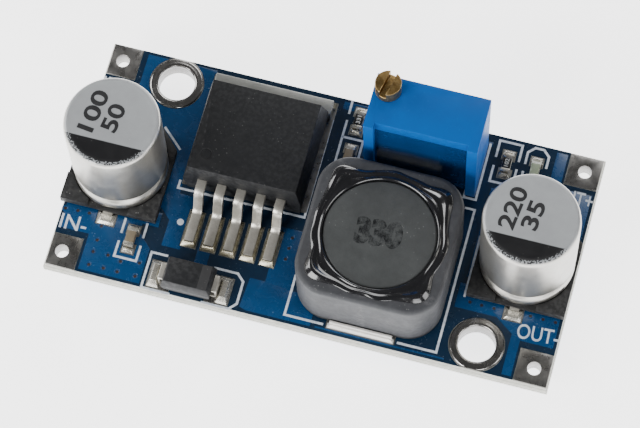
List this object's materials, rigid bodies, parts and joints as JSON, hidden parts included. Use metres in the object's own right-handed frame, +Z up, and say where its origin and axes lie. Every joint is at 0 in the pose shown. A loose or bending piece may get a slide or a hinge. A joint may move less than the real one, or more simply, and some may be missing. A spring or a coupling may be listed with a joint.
{
  "type": "step-down converter module",
  "caption": "Small blue circuit board with a step-down converter: regulator, shielded inductor, electrolytic capacitors and a screw-adjusted trimmer.",
  "frame": {"origin": "centre of the pattern of mounting holes, on the underside of the board", "axes": "+X along the length from the input end to the output end, +Y to the edge with the trimmer, +Z up out of the component side"},
  "size_m": [0.0433, 0.021, 0.0144],
  "materials": {
    "laminate": "matte",
    "solder_mask": "gloss",
    "tinned_copper": "satin",
    "lead_tin": "satin",
    "solder": "gloss",
    "black_epoxy": "matte",
    "can_aluminium": "satin",
    "black_plastic": "matte",
    "ferrite": "matte",
    "copper_wire": "enamelled",
    "black_glue": "gloss",
    "blue_plastic": "satin",
    "blue_potting": "gloss",
    "white_ceramic": "matte",
    "brass_screw": "satin",
    "spring_steel": "satin",
    "seal_rubber": "matte",
    "white_plastic": "matte",
    "spring_brass": "satin",
    "black_glaze": "satin",
    "brown_ceramic": "satin",
    "lamp_white": "matte",
    "lamp_resin": "gloss",
    "lamp_gold": "satin"
  },
  "bodies": {
    "module": {"circuit_board": "laminate", "solder_mask_top": "solder_mask", "solder_mask_bottom": "solder_mask", "mounting_hole_plating": "tinned_copper", "wire_hole_plating": "tinned_copper", "trimmer_hole_plating": "tinned_copper", "solder_lands": "tinned_copper", "regulator_tab": "lead_tin", "regulator_body": "black_epoxy", "regulator_leads": "lead_tin", "regulator_solder": "solder", "input_capacitor_can": "can_aluminium", "input_capacitor_base": "black_plastic", "input_capacitor_terminals": "lead_tin", "output_capacitor_can": "can_aluminium", "output_capacitor_base": "black_plastic", "output_capacitor_terminals": "lead_tin", "capacitor_solder": "solder", "inductor_shield": "ferrite", "inductor_core": "ferrite", "inductor_winding": "copper_wire", "inductor_glue": "black_glue", "inductor_base": "black_plastic", "inductor_terminals": "lead_tin", "inductor_solder": "solder", "rectifier_body": "black_epoxy", "rectifier_leads": "lead_tin", "rectifier_solder": "solder", "trimmer_housing": "blue_plastic", "trimmer_potting": "blue_potting", "trimmer_element": "white_ceramic", "trimmer_pins": "lead_tin", "trimmer_clip": "spring_steel", "trimmer_seal": "seal_rubber", "trimmer_solder": "solder", "set_resistor_chip": "white_ceramic", "set_resistor_coat": "black_glaze", "set_resistor_ends": "lead_tin", "lamp_resistor_chip": "white_ceramic", "lamp_resistor_coat": "black_glaze", "lamp_resistor_ends": "lead_tin", "input_chip_capacitor": "brown_ceramic", "input_chip_capacitor_ends": "lead_tin", "sense_chip_capacitor": "brown_ceramic", "sense_chip_capacitor_ends": "lead_tin", "lamp_base": "lamp_white", "lamp_lens": "lamp_resin", "lamp_ends": "lamp_gold", "chip_solder": "solder"},
    "adjuster": {"trimmer_screw": "brass_screw"},
    "wiper": {"trimmer_wiper": "white_plastic", "trimmer_contact": "spring_brass"}
  },
  "joints": [
    {"name": "trimmer_turn", "type": "hinge", "parent": "module", "child": "adjuster", "pos_m": [0.00352, 0.00784, 0.0062], "axis": [0, 0, 1], "range_deg": [-4500, 4500]},
    {"name": "wiper_travel", "type": "slide", "parent": "module", "child": "wiper", "axis": [0, 0, 1], "range_m": [-0.003, 0.003]}
  ],
  "couplings": [
    {"joint": "trimmer_turn", "follows": "wiper_travel", "rad_per_m": -26180}
  ]
}
